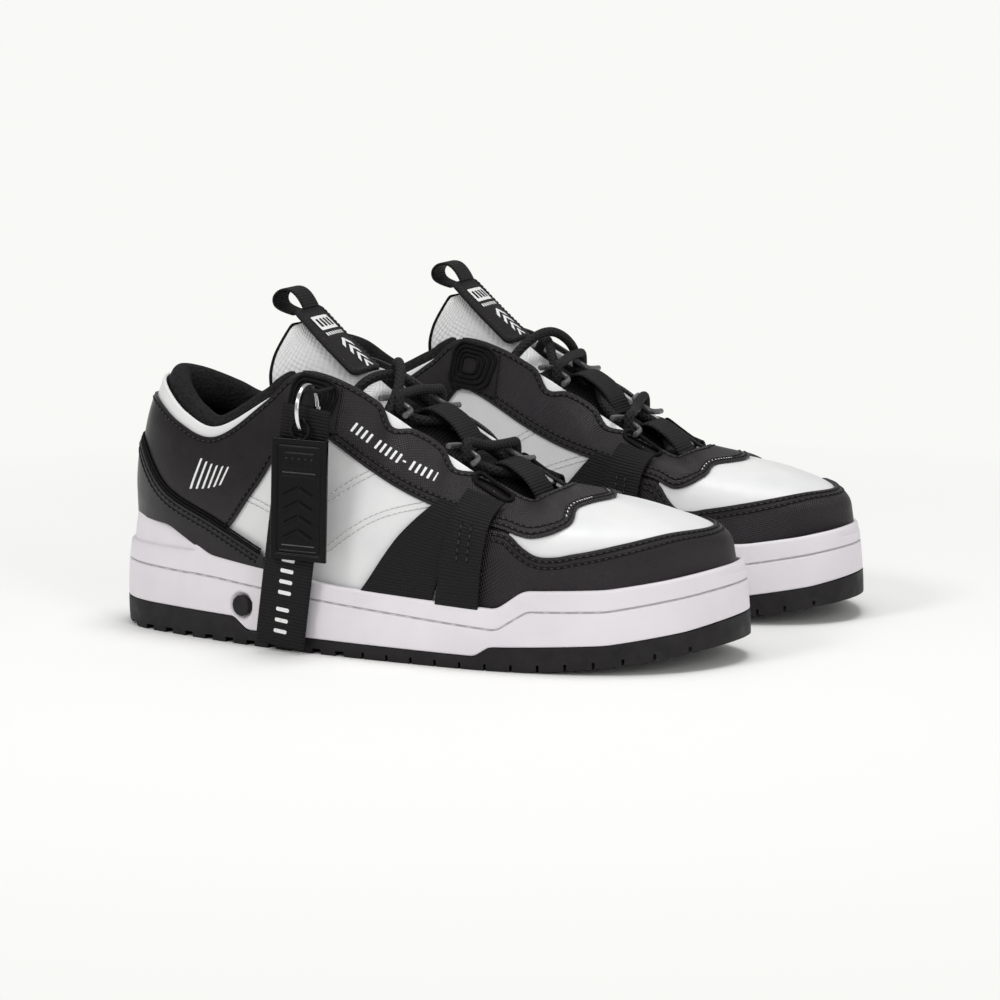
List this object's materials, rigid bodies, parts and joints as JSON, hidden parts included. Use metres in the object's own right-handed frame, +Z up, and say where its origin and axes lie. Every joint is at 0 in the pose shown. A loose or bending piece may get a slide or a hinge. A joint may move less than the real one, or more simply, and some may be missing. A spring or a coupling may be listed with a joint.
{
  "type": "pair of sneakers",
  "caption": "Low lace-up sneakers with cup soles, webbing straps at the forefoot, a padded tongue with a pull loop, and a hang tag on a split ring.",
  "frame": {"origin": "centre of the pair's bounding box at the ground", "axes": "+X from the heels towards the toes, +Y from the right shoe towards the left shoe, +Z up"},
  "size_m": [0.316, 0.2608, 0.1596],
  "materials": {
    "black_rubber": "matt moulded rubber",
    "white_rubber": "smooth moulded rubber",
    "foam": "cut foam",
    "black_textile": "knitted textile",
    "board": "stiff fibre board",
    "white_leather": "smooth coated leather",
    "black_leather": "smooth coated leather",
    "black_twill": "coated twill",
    "black_webbing": "ribbed webbing",
    "grey_plastic": "translucent moulded",
    "black_cord": "round braided cord",
    "steel": "polished",
    "black_plastic": "glossy moulded"
  },
  "bodies": {
    "right_shoe": {"right_outsole": "black_rubber", "right_midsole": "white_rubber", "right_midsole_core": "foam", "right_heel_plug": "black_rubber", "right_sockliner": "black_textile", "right_lining": "black_textile", "right_collar_pad": "black_textile", "right_heel_counter": "board", "right_vamp": "white_leather", "right_quarter_lateral": "white_leather", "right_quarter_medial": "white_leather", "right_toe_cap": "black_twill", "right_heel_panel": "black_leather", "right_collar_patch": "white_leather", "right_backstay": "black_leather", "right_eyestay": "black_twill", "right_strap_lateral_diagonal": "black_webbing", "right_strap_lateral_front": "black_webbing", "right_strap_medial_diagonal": "black_webbing", "right_strap_medial_front": "black_webbing", "right_ankle_patches": "black_textile", "right_tongue_base": "white_leather", "right_centre_webbing": "black_webbing", "right_lace_loops": "grey_plastic", "right_lace": "black_cord", "hang_loop": "black_cord"},
    "right_tongue_flap": {"right_tongue_top": "white_leather", "right_tongue_label": "black_textile"},
    "right_pull_tab": {"right_pull_loop": "black_webbing"},
    "left_shoe": {"left_outsole": "black_rubber", "left_midsole": "white_rubber", "left_midsole_core": "foam", "left_heel_plug": "black_rubber", "left_sockliner": "black_textile", "left_lining": "black_textile", "left_collar_pad": "black_textile", "left_heel_counter": "board", "left_vamp": "white_leather", "left_quarter_lateral": "white_leather", "left_quarter_medial": "white_leather", "left_toe_cap": "black_twill", "left_heel_panel": "black_leather", "left_collar_patch": "white_leather", "left_backstay": "black_leather", "left_eyestay": "black_twill", "left_strap_lateral_diagonal": "black_webbing", "left_strap_lateral_front": "black_webbing", "left_strap_medial_diagonal": "black_webbing", "left_strap_medial_front": "black_webbing", "left_ankle_patches": "black_textile", "left_tongue_base": "white_leather", "left_centre_webbing": "black_webbing", "left_lace_loops": "grey_plastic", "left_lace": "black_cord"},
    "left_tongue_flap": {"left_tongue_top": "white_leather", "left_tongue_label": "black_textile"},
    "left_pull_tab": {"left_pull_loop": "black_webbing"},
    "ring": {"split_ring": "steel"},
    "hang_strap": {"tag_strap": "black_webbing"},
    "hang_plate": {"tag_plate": "black_plastic"}
  },
  "joints": [
    {"name": "left_shoe_lift", "type": "slide", "parent": "right_shoe", "child": "left_shoe", "axis": [0, 0, 1], "range_m": [0, 0.25]},
    {"name": "right_tongue_flex", "type": "hinge", "parent": "right_shoe", "child": "right_tongue_flap", "pos_m": [-0.0287, -0.0689, 0.1188], "axis": [0, 1, 0], "range_deg": [0, 22], "stiffness_Nm_per_rad": 0.15},
    {"name": "right_pull_tab_flex", "type": "hinge", "parent": "right_tongue_flap", "child": "right_pull_tab", "pos_m": [-0.07, -0.0689, 0.1502], "axis": [0, 1, 0], "range_deg": [-20, 12], "stiffness_Nm_per_rad": 0.01},
    {"name": "left_tongue_flex", "type": "hinge", "parent": "left_shoe", "child": "left_tongue_flap", "pos_m": [-0.0127, 0.0751, 0.1188], "axis": [0, 1, 0], "range_deg": [0, 22], "stiffness_Nm_per_rad": 0.15},
    {"name": "left_pull_tab_flex", "type": "hinge", "parent": "left_tongue_flap", "child": "left_pull_tab", "pos_m": [-0.054, 0.0751, 0.1502], "axis": [0, 1, 0], "range_deg": [-20, 12], "stiffness_Nm_per_rad": 0.01},
    {"name": "ring_swing", "type": "hinge", "parent": "right_shoe", "child": "ring", "pos_m": [-0.0435, -0.1111, 0.1183], "axis": [1, 0, 0], "range_deg": [-60, 0]},
    {"name": "strap_swing", "type": "hinge", "parent": "ring", "child": "hang_strap", "pos_m": [-0.0435, -0.1224, 0.10025], "axis": [0, 1, 0], "range_deg": [-12, 40]},
    {"name": "plate_swing", "type": "hinge", "parent": "ring", "child": "hang_plate", "pos_m": [-0.0435, -0.1259, 0.10245], "axis": [0, 1, 0], "range_deg": [-30, 35]}
  ]
}
